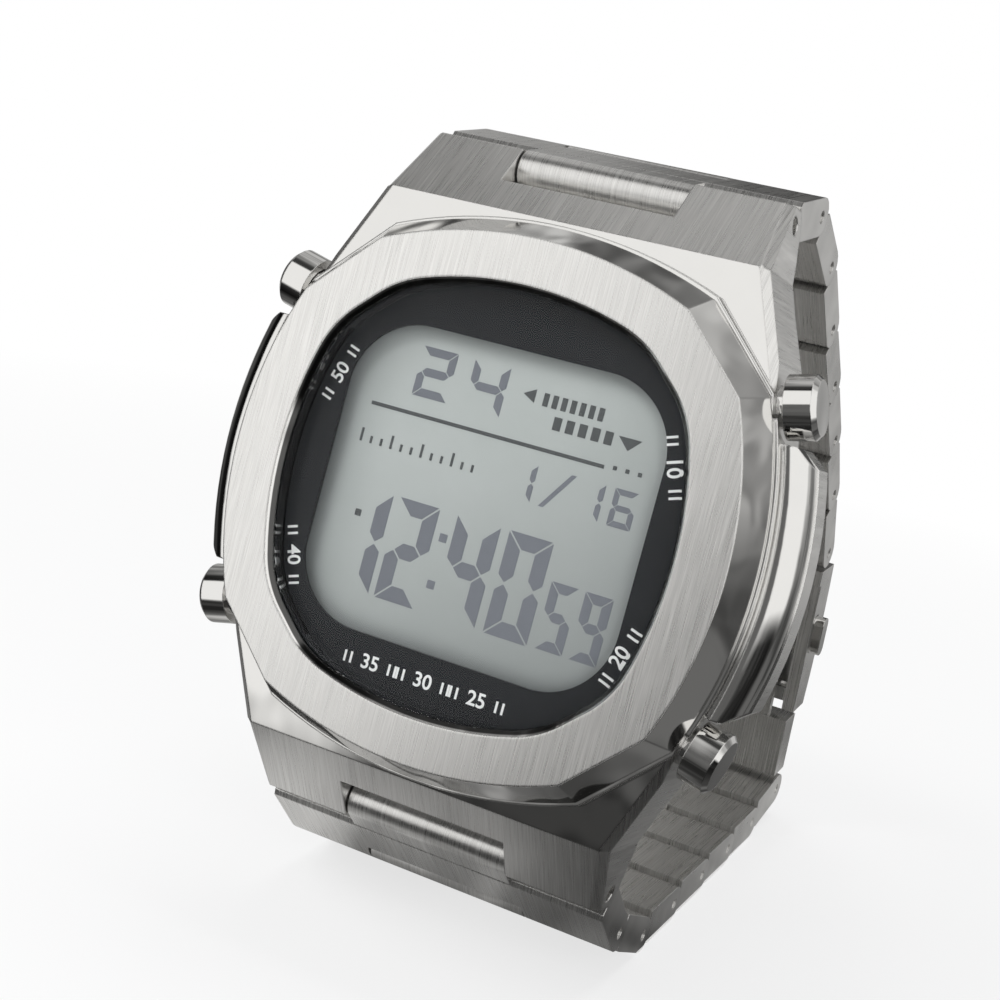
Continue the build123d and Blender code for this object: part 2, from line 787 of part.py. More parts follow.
# Alarm disc on the inner face of the case back
with BuildPart() as alarm_disc:
    with BuildSketch(dial.offset(-case_depth)):
        RegularPolygon(alarm_radius, disc_sides)
    extrude(amount=alarm_thickness)
alarm_disc.part.label = "alarm_disc"
export_step(alarm_disc.part, "parts/alarm_disc.step")

# Bracelet links. Each is drawn from the side in its own plane, whose origin is the pin nearer the
# case, x runs along the link and y points outward. A middle tongue turns on the nearer pin. Two
# ears hold the farther pin in a notch that takes the next tongue.


def link_plane(pins, index, sign):
    start = place(*pins[index])
    return Plane(origin=start, x_dir=place(*pins[index + 1]) - start, z_dir=(sign, 0, 0))


def make_links(strap, pins, sign):
    for index in range(len(pins) - 1):
        plane = link_plane(pins, index, sign)
        width = upper_link_width - link_taper * index
        start = lug_nose_radius + link_gap if index == 0 else shoulder_reach
        near_pin = bar_radius if index == 0 else pin_radius
        with BuildPart() as link:
            with BuildSketch(plane):
                with Locations((link_pitch, 0)):
                    RegularPolygon(link_end_radius, middle_sides)
                with BuildLine():
                    Polyline(
                        (start, -link_end_radius),
                        (link_pitch, -link_end_radius),
                        (link_pitch, link_end_radius),
                        (start + link_bevel, link_end_radius),
                        (start, link_end_radius - link_bevel),
                        close=True,
                    )
                make_face()
            extrude(amount=width / 2, both=True)
            with BuildSketch(plane):
                Circle(link_end_radius)
                with Locations((start / 2, 0)):
                    Rectangle(start, link_thickness)
            extrude(amount=tongue_width / 2, both=True)
            with BuildSketch(plane):
                with Locations((link_pitch - shoulder_reach + link_thickness, 0)):
                    Rectangle(2 * link_thickness, link_thickness + overrun)
            extrude(amount=half_notch, both=True, mode=Mode.SUBTRACT)
            with BuildSketch(plane):
                bore(near_pin + pin_clearance)
                with Locations((link_pitch, 0)):
                    rod(pin_radius)
            extrude(amount=width, both=True, mode=Mode.SUBTRACT)
        link.part.label = strap + "_link_" + str(index + 1)
        export_step(link.part, "parts/" + link.part.label + ".step")
        with BuildPart() as pin:
            with BuildSketch(plane):
                with Locations((link_pitch, 0)):
                    rod(pin_radius)
            extrude(amount=width / 2 - pin_recess, both=True)
        pin.part.label = strap + "_pin_" + str(index + 1)
        export_step(pin.part, "parts/" + pin.part.label + ".step")


make_links("upper", upper_pins, 1)
make_links("lower", lower_pins, -1)

# Clasp, drawn from the side in a plane from the last upper pin to the last lower pin
clasp_start = place(*upper_pins[-1])
clasp = Plane(origin=clasp_start, x_dir=place(*lower_pins[-1]) - clasp_start, z_dir=(1, 0, 0))
clasp_length = clasp_run.length
clasp_link_width = upper_link_width - link_taper * len(upper_headings)
cover_width = clasp_link_width + cover_extra_width
cover_half_inside = cover_width / 2 - cover_wall
hinge_b_place = cover_length - hinge_b_inset
end_block_start = cover_length + end_block_gap
middle_leaf_width = 2 * (cover_half_inside - middle_leaf_side_gap)
inner_leaf_width = 2 * (cover_half_inside - inner_leaf_side_gap)
block_end = shoulder_reach + cover_end_block

# Clasp cover: crowned plate, end block with the tongue, two side walls with the button slots
with BuildPart() as clasp_cover:
    with BuildSketch(clasp):
        with BuildLine():
            ThreePointArc(
                (shoulder_reach, cover_outer),
                ((shoulder_reach + cover_length) / 2, cover_outer + cover_crown),
                (cover_length, cover_outer),
            )
            Polyline(
                (cover_length, cover_outer),
                (cover_length, cover_inner),
                (shoulder_reach, cover_inner),
                (shoulder_reach, cover_outer),
            )
        make_face()
    extrude(amount=cover_width / 2, both=True)
    with BuildSketch(clasp):
        with Locations(((shoulder_reach + block_end) / 2, (cover_inner - link_end_radius) / 2)):
            Rectangle(cover_end_block, cover_inner + link_end_radius)
    extrude(amount=cover_width / 2, both=True)
    with BuildSketch(clasp):
        Circle(link_end_radius)
        with Locations((shoulder_reach / 2, 0)):
            Rectangle(shoulder_reach, link_thickness)
    extrude(amount=tongue_width / 2, both=True)
    with BuildSketch(clasp.offset(cover_half_inside), clasp.offset(-cover_width / 2)):
        with Locations(((block_end + cover_length) / 2, (cover_inner - cover_wall_drop) / 2)):
            Rectangle(cover_length - block_end, cover_inner + cover_wall_drop)
    extrude(amount=cover_wall)
    with BuildSketch(clasp):
        bore(pin_radius + pin_clearance)
    extrude(amount=cover_width, both=True, mode=Mode.SUBTRACT)
    with BuildSketch(clasp):
        with Locations((hinge_b_place, middle_leaf_level)):
            rod(hinge_pin_radius)
    extrude(amount=cover_width / 2 - pin_recess, both=True, mode=Mode.SUBTRACT)
    with BuildSketch(clasp):
        with Locations((button_place, button_level)):
            RectangleRounded(
                button_length + 2 * button_clearance,
                button_height + 2 * button_clearance,
                button_height / 2,
            )
    extrude(amount=cover_width, both=True, mode=Mode.SUBTRACT)
clasp_cover.part.label = "clasp_cover"
export_step(clasp_cover.part, "parts/clasp_cover.step")

# Cover hinge pin, held in the side walls
with BuildPart() as cover_hinge_pin:
    with BuildSketch(clasp):
        with Locations((hinge_b_place, middle_leaf_level)):
            rod(hinge_pin_radius)
    extrude(amount=cover_width / 2 - pin_recess, both=True)
cover_hinge_pin.part.label = "cover_hinge_pin"
export_step(cover_hinge_pin.part, "parts/cover_hinge_pin.step")

# Middle leaf: plate between a knuckle on the cover's hinge and two ears on the inner leaf's hinge
ear_inside = knuckle_width / 2 + hinge_side_gap
with BuildPart() as middle_leaf:
    with BuildSketch(clasp):
        with Locations(((hinge_b_place + hinge_c_place) / 2, middle_leaf_level)):
            Rectangle(hinge_b_place - hinge_c_place, leaf_thickness)
        with Locations((hinge_b_place, middle_leaf_level)):
            Circle(hinge_b_knuckle)
        with Locations((hinge_c_place, hinge_c_level)):
            RegularPolygon(hinge_c_knuckle, middle_sides)
    extrude(amount=middle_leaf_width / 2, both=True)
    with BuildSketch(clasp):
        with Locations((hinge_c_place, hinge_c_level)):
            RegularPolygon(hinge_c_knuckle + hinge_side_gap, middle_sides, major_radius=False)
    extrude(amount=ear_inside, both=True, mode=Mode.SUBTRACT)
    with BuildSketch(clasp):
        with Locations((hinge_b_place, middle_leaf_level)):
            bore(hinge_pin_radius + pin_clearance)
        with Locations((hinge_c_place, hinge_c_level)):
            rod(hinge_pin_radius)
    extrude(amount=cover_width, both=True, mode=Mode.SUBTRACT)
middle_leaf.part.label = "middle_leaf"
export_step(middle_leaf.part, "parts/middle_leaf.step")

# Leaf hinge pin, held in the middle leaf's ears
with BuildPart() as leaf_hinge_pin:
    with BuildSketch(clasp):
        with Locations((hinge_c_place, hinge_c_level)):
            rod(hinge_pin_radius)
    extrude(amount=middle_leaf_width / 2 - pin_recess, both=True)
leaf_hinge_pin.part.label = "leaf_hinge_pin"
export_step(leaf_hinge_pin.part, "parts/leaf_hinge_pin.step")

# Inner leaf: plate with a middle knuckle, and an end block whose short tongue faces the last pin
end_block_end = clasp_length - link_end_radius - open_pivot_gap
with BuildPart() as inner_leaf:
    with BuildSketch(clasp):
        with Locations(((hinge_c_place + end_block_start) / 2, inner_leaf_level)):
            Rectangle(end_block_start - hinge_c_place, leaf_thickness)
    extrude(amount=inner_leaf_width / 2, both=True)
    with BuildSketch(clasp):
        with Locations((hinge_c_place, hinge_c_level)):
            RegularPolygon(hinge_c_knuckle + hinge_side_gap, middle_sides, major_radius=False)
    extrude(amount=inner_leaf_width, both=True, mode=Mode.SUBTRACT)
    with BuildSketch(clasp):
        with Locations((hinge_c_place, hinge_c_level)):
            Circle(hinge_c_knuckle)
        with Locations((hinge_c_place + hinge_c_knuckle, inner_leaf_level)):
            Rectangle(2 * hinge_c_knuckle, leaf_thickness)
    extrude(amount=knuckle_width / 2, both=True)
    with BuildSketch(clasp):
        with Locations(((end_block_start + end_block_end) / 2, 0)):
            Rectangle(end_block_end - end_block_start, link_thickness)
    extrude(amount=clasp_link_width / 2, both=True)
    with BuildSketch(clasp):
        with Locations((end_block_end, 0)):
            Rectangle(2 * open_tongue_length, link_thickness)
    extrude(amount=tongue_width / 2, both=True)
    with BuildSketch(clasp):
        with Locations((hinge_c_place, hinge_c_level)):
            bore(hinge_pin_radius + pin_clearance)
    extrude(amount=inner_leaf_width, both=True, mode=Mode.SUBTRACT)
inner_leaf.part.label = "inner_leaf"
export_step(inner_leaf.part, "parts/inner_leaf.step")

# Clasp buttons: a rounded head through each side wall, with a flange behind the wall
for name, sign in (("right", 1), ("left", -1)):
    head_plane = clasp.offset(sign * cover_half_inside)
    with BuildPart() as button:
        with BuildSketch(head_plane):
            with Locations((button_place, button_level)):
                RectangleRounded(button_length, button_height, button_height / 2 - button_clearance)
        extrude(amount=sign * (cover_wall + button_proud))
        with BuildSketch(head_plane):
            with Locations((button_place, button_level)):
                Rectangle(button_length + 2 * button_flange, button_flange_height)
        extrude(amount=-sign * button_flange)
    button.part.label = "clasp_button_" + name
    export_step(button.part, "parts/" + button.part.label + ".step")
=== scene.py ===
"""Looks of a digital wristwatch with a steel link bracelet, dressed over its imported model."""
import json
import math
import bpy
import numpy as np
from mathutils import Matrix, Vector


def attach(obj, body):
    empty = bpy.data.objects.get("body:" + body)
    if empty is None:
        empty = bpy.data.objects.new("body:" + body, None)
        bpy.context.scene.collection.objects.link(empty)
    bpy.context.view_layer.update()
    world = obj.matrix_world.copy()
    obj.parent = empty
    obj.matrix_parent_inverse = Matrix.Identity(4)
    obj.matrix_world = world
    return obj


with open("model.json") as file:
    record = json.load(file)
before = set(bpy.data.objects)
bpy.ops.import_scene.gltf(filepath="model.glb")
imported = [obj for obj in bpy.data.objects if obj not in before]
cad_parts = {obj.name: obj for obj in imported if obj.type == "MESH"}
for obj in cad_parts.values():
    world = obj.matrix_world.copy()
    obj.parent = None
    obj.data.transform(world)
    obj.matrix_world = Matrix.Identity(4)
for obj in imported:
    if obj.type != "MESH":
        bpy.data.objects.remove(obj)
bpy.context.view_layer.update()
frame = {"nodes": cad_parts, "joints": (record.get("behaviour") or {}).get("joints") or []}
nodes = frame["nodes"]
MM = 0.001

# The dial's own axes, worked out from the pushers: x to 3 o'clock, y to 12 o'clock, z out of the dial
pusher_place = {
    joint["child"]: Vector(joint["pos_m"]) for joint in frame["joints"] if "pusher" in joint["name"]
}
dial_x = Vector((1, 0, 0))
dial_y = (pusher_place["pusher_upper_right"] - pusher_place["pusher_lower_right"]).normalized()
dial_z = dial_x.cross(dial_y)
dial_axes = np.array([dial_x, dial_y, dial_z])
pusher_middle = sum(pusher_place.values(), Vector()) / len(pusher_place)


def highest(name):
    """Highest place of a node along the dial's z, in metres from the pushers' middle."""
    mesh = nodes[name].data
    points = np.empty(len(mesh.vertices) * 3)
    mesh.vertices.foreach_get("co", points)
    return ((points.reshape(-1, 3) - np.array(pusher_middle)) @ np.array(dial_z)).max()


# The dial's zero is the middle of the bezel's top; the levels of the mask and display are in millimetres
bezel_top = highest("bezel")
dial_origin = pusher_middle + dial_z * bezel_top
mask_level = (highest("dial_mask") - bezel_top) / MM
display_level = (highest("lcd_panel") - bezel_top) / MM


def to_row(points):
    """Points in the dial's millimetres become points in the model's metres."""
    return np.asarray(points, float) * MM @ dial_axes + np.array(dial_origin)


# Camera: eye and aim in the dial's millimetres, and the turn about its own line of sight
eye = Vector(to_row((49.82, 7.54, 112.42)))
aim = Vector(to_row((2.379, 0.866, 0.0)))
camera_roll = math.radians(11.1555)
camera_data = bpy.data.cameras.new("camera")
camera_data.sensor_width = 36.0
camera_data.lens = 63.205
camera_data.clip_start = 0.005
camera = bpy.data.objects.new("camera", camera_data)
look = (aim - eye).to_track_quat("-Z", "Y").to_matrix() @ Matrix.Rotation(camera_roll, 3, "Z")
camera.matrix_world = Matrix.Translation(eye) @ look.to_4x4()
bpy.context.scene.collection.objects.link(camera)
bpy.context.scene.camera = camera


class Shade:
    """A socket in a tree of nodes, which adds Math nodes when it is calculated with."""

    def __init__(self, web, socket):
        self.web = web
        self.socket = socket

    def math(self, operation, *others):
        return self.web.node("ShaderNodeMath", {"operation": operation}, [self, *others])

    def __add__(self, other):
        return self.math("ADD", other)

    def __radd__(self, other):
        return self.math("ADD", other)

    def __sub__(self, other):
        return self.math("SUBTRACT", other)

    def __rsub__(self, other):
        return self.web.node("ShaderNodeMath", {"operation": "SUBTRACT"}, [other, self])

    def __mul__(self, other):
        return self.math("MULTIPLY", other)

    def __rmul__(self, other):
        return self.math("MULTIPLY", other)

    def __truediv__(self, other):
        return self.math("DIVIDE", other)

    def __abs__(self):
        return self.math("ABSOLUTE")

    def above(self, level, soft):
        """0 below level, 1 above it, with a soft step that is soft wide."""
        return self.web.node(
            "ShaderNodeMapRange",
            {"interpolation_type": "SMOOTHSTEP"},
            {"Value": self, "From Min": level - soft / 2, "From Max": level + soft / 2},
        )


class Web:
    """A tree of nodes, whose nodes all come from one method."""

    def __init__(self, tree):
        self.tree = tree

    def node(self, kind, settings=None, inputs=None, output=0):
        made = self.tree.nodes.new(kind)
        for key, value in (settings or {}).items():
            setattr(made, key, value)
        pairs = inputs.items() if isinstance(inputs, dict) else enumerate(inputs or [])
        for key, value in pairs:
            if isinstance(value, Shade):
                self.tree.links.new(value.socket, made.inputs[key])
            else:
                made.inputs[key].default_value = value
        return Shade(self, made.outputs[output])

    def split(self, place):
        """The x, y and z of a vector as three shades."""
        outputs = self.node("ShaderNodeSeparateXYZ", {}, [place]).socket.node.outputs
        return [Shade(self, outputs[axis]) for axis in range(3)]

    def mix(self, share, low, high):
        """A colour between two colours."""
        low, high = (value if isinstance(value, Shade) else (*value, 1) for value in (low, high))
        return self.node("ShaderNodeMix", {"data_type": "RGBA"}, {0: share, 6: low, 7: high}, 2)

    def studio_seen(self):
        """1 for rays from the camera, through glass and off mirrors, which see a white studio; else 0."""
        camera_ray, glass_ray, mirror_ray = (
            self.node("ShaderNodeLightPath", output=kind)
            for kind in ("Is Camera Ray", "Is Transmission Ray", "Is Glossy Ray")
        )
        return camera_ray.math("MAXIMUM", glass_ray).math("MAXIMUM", mirror_ray)


class Finish(Web):
    """A material that ends in one Principled shader."""

    def __init__(self, name, **shader):
        self.material = bpy.data.materials.new(name)
        self.material.use_nodes = True
        super().__init__(self.material.node_tree)
        self.shader = self.tree.nodes["Principled BSDF"]
        for socket, value in shader.items():
            self.shader.inputs[socket.replace("_", " ")].default_value = value

    def set(self, socket, shade):
        self.tree.links.new(shade.socket, self.shader.inputs[socket])

    def place(self):
        """Object coordinates turned into the dial's axes, in millimetres from the dial's centre."""
        turn = Matrix([dial_x, dial_y, dial_z]).to_euler()
        moved = self.node(
            "ShaderNodeVectorMath",
            {"operation": "SUBTRACT"},
            [self.node("ShaderNodeTexCoord", output="Object"), tuple(dial_origin)],
        )
        return self.node(
            "ShaderNodeMapping",
            {"vector_type": "POINT"},
            {"Vector": moved, "Rotation": tuple(turn), "Scale": (1 / MM,) * 3},
        )

    def noise(self, place, sizes, detail=3.0, roughness=0.6):
        """Noise whose grain has those sizes in the place's own units along x, y and z."""
        stretched = self.node(
            "ShaderNodeMapping",
            {"vector_type": "POINT"},
            {"Vector": place, "Scale": tuple(1 / size for size in sizes)},
        )
        return self.node(
            "ShaderNodeTexNoise",
            {"noise_dimensions": "3D"},
            {"Vector": stretched, "Scale": 1.0, "Detail": detail, "Roughness": roughness},
        )

    def along(self, vector, axis):
        """How far a vector runs along an axis."""
        return self.node(
            "ShaderNodeVectorMath", {"operation": "DOT_PRODUCT"}, [vector, tuple(axis)], "Value"
        )

    def bump(self, height, strength, depth_mm, edge_mm=0.0):
        """Relief from a height, over edges that catch the light as if rounded by edge_mm."""
        inputs = {"Height": height, "Strength": strength, "Distance": depth_mm * MM}
        if edge_mm:
            inputs["Normal"] = self.node("ShaderNodeBevel", {"samples": 6}, {"Radius": edge_mm * MM})
        self.set("Normal", self.node("ShaderNodeBump", {}, inputs))


# Grain of the steel in millimetres along the dial's x, y and z
brush_line = (0.10, 6.0, 6.0)
brush_band = (0.30, 14.0, 14.0)
smudge_size = (4.0, 4.0, 4.0)
scratch_size = (0.03, 1.6, 0.9)
wave_size = (5.0, 7.0, 7.0)
brush_depth = 0.005


def everywhere(finish, place):
    return 1.0


def nowhere(finish, place):
    return 0.0


def steel(
    name, brushed_where=everywhere, painted_shade_where=nowhere,
    satin=0.32, polish=0.06, tone=0.80, edge=0.12, waves=0.07,
):
    """Stainless steel. brushed_where gives a share from 0, polished, to 1, brushed round the wrist.

    The brushing is a noise drawn out along y and z, so its lines run from 12 to 6 o'clock. Polished
    steel is slightly wavy, by waves millimetres, with fine scratches. Smudges and a faint change of tone
    lie over both finishes. The shade function gives a share of painted shade, by which the steel's
    colour is darkened. Edges look rounded by edge millimetres. satin and polish are the roughness of the
    two finishes.
    """
    finish = Finish(name, Metallic=1.0)
    place = finish.place()
    grain = finish.noise(place, brush_line, 2.0, 0.7) * 0.75 + finish.noise(place, brush_band, 2.0) * 0.25
    smudge = finish.noise(place, smudge_size)
    scratch = finish.noise(place, scratch_size, 1.0)
    wave = finish.noise(place, wave_size, 1.0)
    brushed = brushed_where(finish, place)
    rough = satin + (grain - 0.5) * 0.3 + (smudge - 0.5) * 0.08
    gloss = polish + (smudge - 0.5) * 0.05 + scratch.above(0.70, 0.1) * 0.05
    shade = tone + (grain - 0.5) * 0.9 * brushed + (smudge - 0.5) * 0.05
    # Painted shade: the colour is darkened where the shade function says, as in the bezel's opening.
    shade = shade * (1 - painted_shade_where(finish, place))
    finish.set("Base Color", finish.mix(shade, (0.0, 0.0, 0.0), (1.0, 0.992, 0.975)))
    finish.set("Roughness", rough * brushed + gloss * (1 - brushed))
    finish.bump(grain * brush_depth * brushed + wave * (1 - brushed) * waves, 1.0, 1.0, edge)
    return finish.material


# Where a finish changes, in the dial's millimetres from the bezel's top and the dial's middle
bezel_flat_level = -0.03
# The next two numbers bound the painted reflection of the black mask inside the bezel's opening.
opening_half = 16.1
painted_reflection_level = -0.16
guard_side = 19.6
guard_back_level = -5.55
window_half_x = 13.2
window_half_y = 11.9


def rounded_square(x, y, half_x, half_y, power):
    """Less than 1 inside a square with bowed sides and round corners, 1 on it, more outside."""
    return (abs(x) / half_x).math("POWER", power) + (abs(y) / half_y).math("POWER", power)


def bezel_brushed(finish, place):
    """Brushed on the flat top, polished on every bevel."""
    return finish.split(place)[2].above(bezel_flat_level, 0.02)


def painted_mask_reflection(finish, place):
    """Lower bevel round the glass and the wall under it: a painted reflection of the black mask."""
    x, y, z = finish.split(place)
    inside = 1 - rounded_square(x, y, opening_half, opening_half, 2.7).above(1.0, 0.02)
    return inside * (1 - z.above(painted_reflection_level, 0.06)) * 0.88


def case_brushed(finish, place):
    """Satin on the steep lug facets and flanks, polished on the shoulder and the guards' belly.

    The shoulder is told by its own direction, which is close to the dial's z, and a guard by its place.
    """
    x, _, z = finish.split(place)
    facing = finish.along(finish.node("ShaderNodeTexCoord", output="Normal"), dial_z)
    shoulder = facing.above(0.93, 0.02)
    guard = abs(x).above(guard_side, 0.2) * z.above(guard_back_level, 0.05)
    return 1 - shoulder.math("MAXIMUM", guard)


def glass():
    """Clear flat glass with a trace of dust in its gloss.

    Its index is low, so that it mirrors the studio as faintly as the glass in the photograph does.
    """
    finish = Finish(
        "clear_glass", IOR=1.08, Transmission_Weight=1.0, Coat_Weight=0.15,
        Base_Color=(0.985, 0.995, 0.992, 1),
    )
    dust = finish.noise(finish.place(), (0.4, 0.4, 0.4), 5.0)
    finish.set("Roughness", dust.above(0.72, 0.1) * 0.02)
    return finish.material


def display_face():
    """Grey liquid crystal face: soft uneven tone and fine speckle, with a painted shadow darker towards
    the window's edge and painted shade at the left and towards the lower right.
    """
    finish = Finish("display_face", Specular_IOR_Level=0.4)
    place = finish.place()
    x, y, _ = finish.split(place)
    speckle = finish.noise(place, (0.09, 0.09, 0.09), 2.0)
    cloud = finish.noise(place, (7.0, 7.0, 7.0), 2.0)
    # Painted shadow round the window's edge, and painted shade at the left and towards the lower right.
    painted_rim_shadow = rounded_square(x, y, window_half_x, window_half_y, 5.0).above(0.80, 0.75)
    left = (x * -1).above(10.6, 5.0) * 0.35
    lower_right = (x * 0.6 - y * 0.8).above(4.0, 22.0) * 0.55
    dark = (painted_rim_shadow * 0.62 + left * (1 - painted_rim_shadow) * 0.8).math("MINIMUM", 0.8)
    tone = finish.mix(cloud, (0.40, 0.43, 0.415), (0.465, 0.49, 0.48))
    tone = finish.mix(speckle * 0.14, tone, (0.55, 0.58, 0.57))
    tone = finish.mix(lower_right, tone, (0.16, 0.17, 0.17))
    finish.set("Base Color", finish.mix(dark, tone, (0.085, 0.095, 0.10)))
    finish.set("Roughness", 0.5 + (speckle - 0.5) * 0.1)
    finish.bump(speckle, 0.15, 0.005)
    return finish.material


def ink(name, low, high, rough=0.5):
    """Printed or driven mark: an even tone with a fine uneven grain."""
    finish = Finish(name, Specular_IOR_Level=0.3)
    speckle = finish.noise(finish.place(), (0.25, 0.25, 0.25))
    finish.set("Base Color", finish.mix(speckle, low, high))
    finish.set("Roughness", rough + (speckle - 0.5) * 0.15)
    finish.bump(speckle, 0.1, 0.003)
    return finish.material


def moulding(name, low, high, rough, grain=0.12, depth_mm=0.01, metal=0.0, gloss=0.5):
    """Moulded, stamped or plated surface: two close tones, fine grain in gloss and relief."""
    finish = Finish(name, Metallic=metal, Specular_IOR_Level=gloss)
    place = finish.place()
    speckle = finish.noise(place, (grain, grain, grain), 4.0)
    cloud = finish.noise(place, (3.0, 3.0, 3.0), 2.0)
    finish.set("Base Color", finish.mix(cloud * 0.7 + speckle * 0.3, low, high))
    finish.set("Roughness", rough + (speckle - 0.5) * 0.2)
    finish.bump(speckle, 0.3, depth_mm)
    return finish.material


def board():
    """Green lacquered board with paler copper tracks under the lacquer, in a square maze."""
    finish = Finish("lacquered_board")
    place = finish.place()
    x, y, _ = finish.split(place)
    bend = finish.noise(place, (2.5, 2.5, 2.5), 0.0).above(0.5, 0.02)
    run = (x * bend + y * (1 - bend)) * 2.2
    track = run.math("FRACT").above(0.62, 0.06)
    finish.set("Base Color", finish.mix(track, (0.012, 0.10, 0.045), (0.05, 0.24, 0.10)))
    finish.set("Roughness", 0.28 + track * 0.1)
    finish.bump(track, 0.4, 0.03)
    return finish.material


# Finishes of the CAD nodes
# The bezel's steel carries a painted reflection of the black mask inside its opening.
bezel_steel = steel(
    "bezel_steel", bezel_brushed, painted_mask_reflection, satin=0.30, tone=0.86, edge=0.22, waves=0.3
)
case_steel = steel("case_steel", case_brushed, satin=0.30, edge=0.2, waves=0.15)
link_steel = steel("link_steel", satin=0.30, tone=0.78)
pin_steel = steel("pin_steel", satin=0.22, tone=0.74, edge=0.05)
leaf_steel = steel("leaf_steel", satin=0.26, tone=0.76)
polished_steel = steel("polished_steel", nowhere, edge=0.1)
black_rubber = moulding("black_rubber", (0.012, 0.012, 0.013), (0.03, 0.03, 0.031), 0.62)
pink_rubber = moulding("pink_rubber", (0.62, 0.36, 0.40), (0.75, 0.48, 0.50), 0.6)
black_plastic = moulding("black_plastic", (0.018, 0.018, 0.02), (0.04, 0.04, 0.043), 0.5)
mask_lacquer = moulding(
    "mask_lacquer", (0.010, 0.011, 0.013), (0.018, 0.019, 0.021), 0.3, 0.3, 0.002, gloss=0.1
)
light_film = moulding("light_film", (0.42, 0.62, 0.55), (0.52, 0.70, 0.62), 0.45)
can_metal = moulding("can_metal", (0.70, 0.70, 0.68), (0.80, 0.80, 0.78), 0.25, metal=1.0)
cell_metal = moulding("cell_metal", (0.68, 0.67, 0.64), (0.78, 0.77, 0.74), 0.3, metal=1.0)
alarm_metal = moulding("alarm_metal", (0.70, 0.50, 0.20), (0.80, 0.60, 0.28), 0.3, metal=1.0)

finishes = {
    "bezel": bezel_steel,
    "middle_case": case_steel,
    "case_back": link_steel,
    "clasp_cover": link_steel,
    "crystal": glass(),
    "dial_mask": mask_lacquer,
    "lcd_panel": display_face(),
    "light_panel": light_film,
    "connector_strips": pink_rubber,
    "crystal_gasket": black_rubber,
    "case_back_gasket": black_rubber,
    "pusher_seals": black_rubber,
    "pusher_springs": pin_steel,
    "module_frame": black_plastic,
    "clock_chip": black_plastic,
    "circuit_board": board(),
    "quartz_can": can_metal,
    "battery": cell_metal,
    "battery_clip": can_metal,
    "alarm_disc": alarm_metal,
    "middle_leaf": leaf_steel,
    "inner_leaf": leaf_steel,
}


def finish_of(name):
    """Links are brushed, pushers and clasp buttons polished, and the rest are pins and screws."""
    if name in finishes:
        return finishes[name]
    if "_link_" in name:
        return link_steel
    if name.startswith("pusher_") or "button" in name:
        return polished_steel
    return pin_steel


for name, node in nodes.items():
    node.data.materials.clear()
    node.data.materials.append(finish_of(name))
nodes["crystal"].visible_shadow = False
nodes["crystal"].visible_diffuse = False


# Marks on the display and on the mask, as thin plates
mark_thickness = 0.02
segment_ink = ink("segment_ink", (0.135, 0.145, 0.165), (0.185, 0.195, 0.22))
printed_ink = ink("printed_ink", (0.055, 0.06, 0.062), (0.085, 0.09, 0.092))
label_ink = ink("label_ink", (0.80, 0.81, 0.80), (0.90, 0.90, 0.89), rough=0.4)


def wear(name, mesh, material):
    """The mesh becomes a piece of that material and rides on the case."""
    mesh.materials.clear()
    mesh.materials.append(material)
    piece = bpy.data.objects.new(name, mesh)
    bpy.context.scene.collection.objects.link(piece)
    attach(piece, "case")


def anticlockwise(outline):
    """The outline as an array that turns so that its face looks out of the dial."""
    outline = np.asarray(outline, float)
    x, y = outline.T
    twice_area = np.sum(x * np.roll(y, -1) - np.roll(x, -1) * y)
    return outline if twice_area > 0 else outline[::-1]


def plates(name, outlines, level, material):
    """Flat convex plates of mark_thickness on a level, in the dial's millimetres.

    Each outline is one face on top, the same face turned over below, and a wall of four-cornered faces
    from each point and the next below to the same two on top.
    """
    points, faces = [], []
    start = 0
    for outline in outlines:
        flat = anticlockwise(outline)
        count = len(flat)
        low = start + np.arange(count)
        high = low + count
        lying = np.column_stack([flat, np.full(count, level)])
        points += [lying, lying + (0, 0, mark_thickness)]
        faces += [high.tolist(), low[::-1].tolist()]
        faces += np.column_stack([low, np.roll(low, -1), np.roll(high, -1), high]).tolist()
        start += 2 * count
    mesh = bpy.data.meshes.new(name)
    mesh.from_pydata(to_row(np.vstack(points)).tolist(), [], faces)
    wear(name, mesh, material)


def square(x, y, width, height):
    return [(x, y), (x + width, y), (x + width, y + height), (x, y + height)]


# Which of the seven bars each numeral lights: top, upper right, lower right, bottom, lower left,
# upper left, middle
numeral_bars = {
    "0": "abcdef", "1": "bc", "2": "abdeg", "4": "bcfg", "5": "acdfg", "6": "acdefg", "9": "abcdfg",
}


def numeral(text, left, bottom, width, height, bar):
    """Outlines of one seven-bar numeral: mitred bars round the edge and a pointed middle bar.

    Neighbouring bars are a gap apart, which is a small share of a bar's own width.
    """
    gap = bar * 0.08
    middle = height / 2
    half = bar / 2
    inner = width - bar
    upper = middle + half
    lower = middle - half
    roof = height - bar
    shapes = {
        "a": [(gap, height), (bar + gap, roof), (inner - gap, roof), (width - gap, height)],
        "b": [
            (width, height - gap), (inner, roof - gap), (inner, upper + gap),
            (width - half, middle + gap), (width, upper),
        ],
        "c": [
            (width, lower), (width - half, middle - gap), (inner, lower - gap),
            (inner, bar + gap), (width, gap),
        ],
        "d": [(gap, 0), (width - gap, 0), (inner - gap, bar), (bar + gap, bar)],
        "e": [(0, lower), (0, gap), (bar, bar + gap), (bar, lower - gap), (half, middle - gap)],
        "f": [
            (0, upper), (half, middle + gap), (bar, upper + gap), (bar, roof - gap), (0, height - gap),
        ],
        "g": [
            (half + gap, middle), (bar + gap, lower), (inner - gap, lower),
            (width - half - gap, middle), (inner - gap, upper), (bar + gap, upper),
        ],
    }
    return [[(left + x, bottom + y) for x, y in shapes[bar_name]] for bar_name in numeral_bars[text]]


